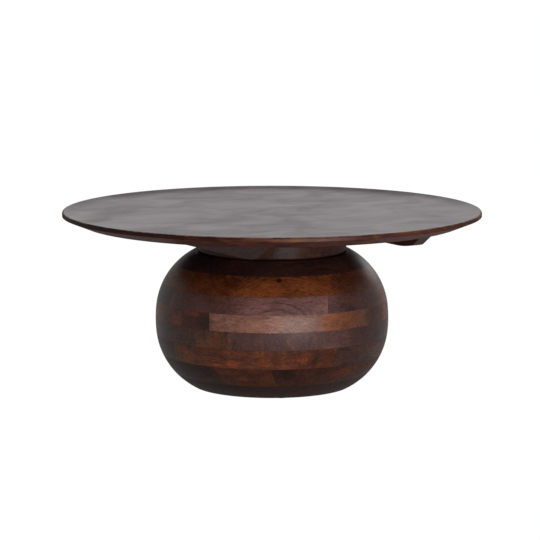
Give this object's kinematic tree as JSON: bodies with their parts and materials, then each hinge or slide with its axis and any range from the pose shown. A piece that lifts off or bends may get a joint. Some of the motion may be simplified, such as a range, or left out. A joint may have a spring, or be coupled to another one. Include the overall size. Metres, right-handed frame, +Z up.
{
  "type": "pedestal coffee table",
  "caption": "Round pedestal table: a dished solid-wood top on two cross battens stands by a short drum neck on a squashed ball of stacked board frames.",
  "frame": {"origin": "on the floor, under the middle of the ball", "axes": "+Z up, X along the boards of the top, Y along the cross battens"},
  "size_m": [1, 0.9998, 0.426],
  "materials": {
    "top_wood": "dark stain under satin lacquer",
    "batten_wood": "dark stain under satin lacquer",
    "neck_wood": "dark stain under satin lacquer",
    "ball_dark_wood": "dark stain under satin lacquer",
    "ball_warm_wood": "dark stain under satin lacquer",
    "ball_light_wood": "dark stain under satin lacquer",
    "zinc_steel": "bright zinc plate",
    "insert_brass": "machined",
    "glide_plastic": "moulded nylon"
  },
  "bodies": {
    "root": {"top_board_1": "top_wood", "top_board_2": "top_wood", "top_board_3": "top_wood", "top_board_4": "top_wood", "top_board_5": "top_wood", "top_board_6": "top_wood", "top_board_7": "top_wood", "top_board_8": "top_wood", "top_board_9": "top_wood", "batten_left": "batten_wood", "batten_right": "batten_wood", "neck_block_1": "neck_wood", "neck_block_2": "neck_wood", "neck_block_3": "neck_wood", "neck_block_4": "neck_wood", "ball_layer_1_block_1": "ball_dark_wood", "ball_layer_1_block_2": "ball_dark_wood", "ball_layer_1_block_3": "ball_dark_wood", "ball_layer_1_block_4": "ball_dark_wood", "ball_layer_2_block_1": "ball_warm_wood", "ball_layer_2_block_2": "ball_warm_wood", "ball_layer_2_block_3": "ball_warm_wood", "ball_layer_2_block_4": "ball_warm_wood", "ball_layer_3_block_1": "ball_dark_wood", "ball_layer_3_block_2": "ball_dark_wood", "ball_layer_3_block_3": "ball_dark_wood", "ball_layer_3_block_4": "ball_dark_wood", "ball_layer_4_block_1": "ball_light_wood", "ball_layer_4_block_2": "ball_light_wood", "ball_layer_4_block_3": "ball_light_wood", "ball_layer_4_block_4": "ball_light_wood", "ball_layer_5_block_1": "ball_dark_wood", "ball_layer_5_block_2": "ball_dark_wood", "ball_layer_5_block_3": "ball_dark_wood", "ball_layer_5_block_4": "ball_dark_wood", "ball_layer_6_block_1": "ball_warm_wood", "ball_layer_6_block_2": "ball_warm_wood", "ball_layer_6_block_3": "ball_warm_wood", "ball_layer_6_block_4": "ball_warm_wood", "ball_layer_7_block_1": "ball_warm_wood", "ball_layer_7_block_2": "ball_warm_wood", "ball_layer_7_block_3": "ball_warm_wood", "ball_layer_7_block_4": "ball_warm_wood", "ball_layer_8_block_1": "ball_dark_wood", "ball_layer_8_block_2": "ball_dark_wood", "ball_layer_8_block_3": "ball_dark_wood", "ball_layer_8_block_4": "ball_dark_wood", "neck_bolts": "zinc_steel", "bolt_washers": "zinc_steel", "threaded_inserts": "insert_brass", "batten_screws": "zinc_steel", "glides": "glide_plastic", "glide_screws": "zinc_steel"}
  },
  "joints": []
}
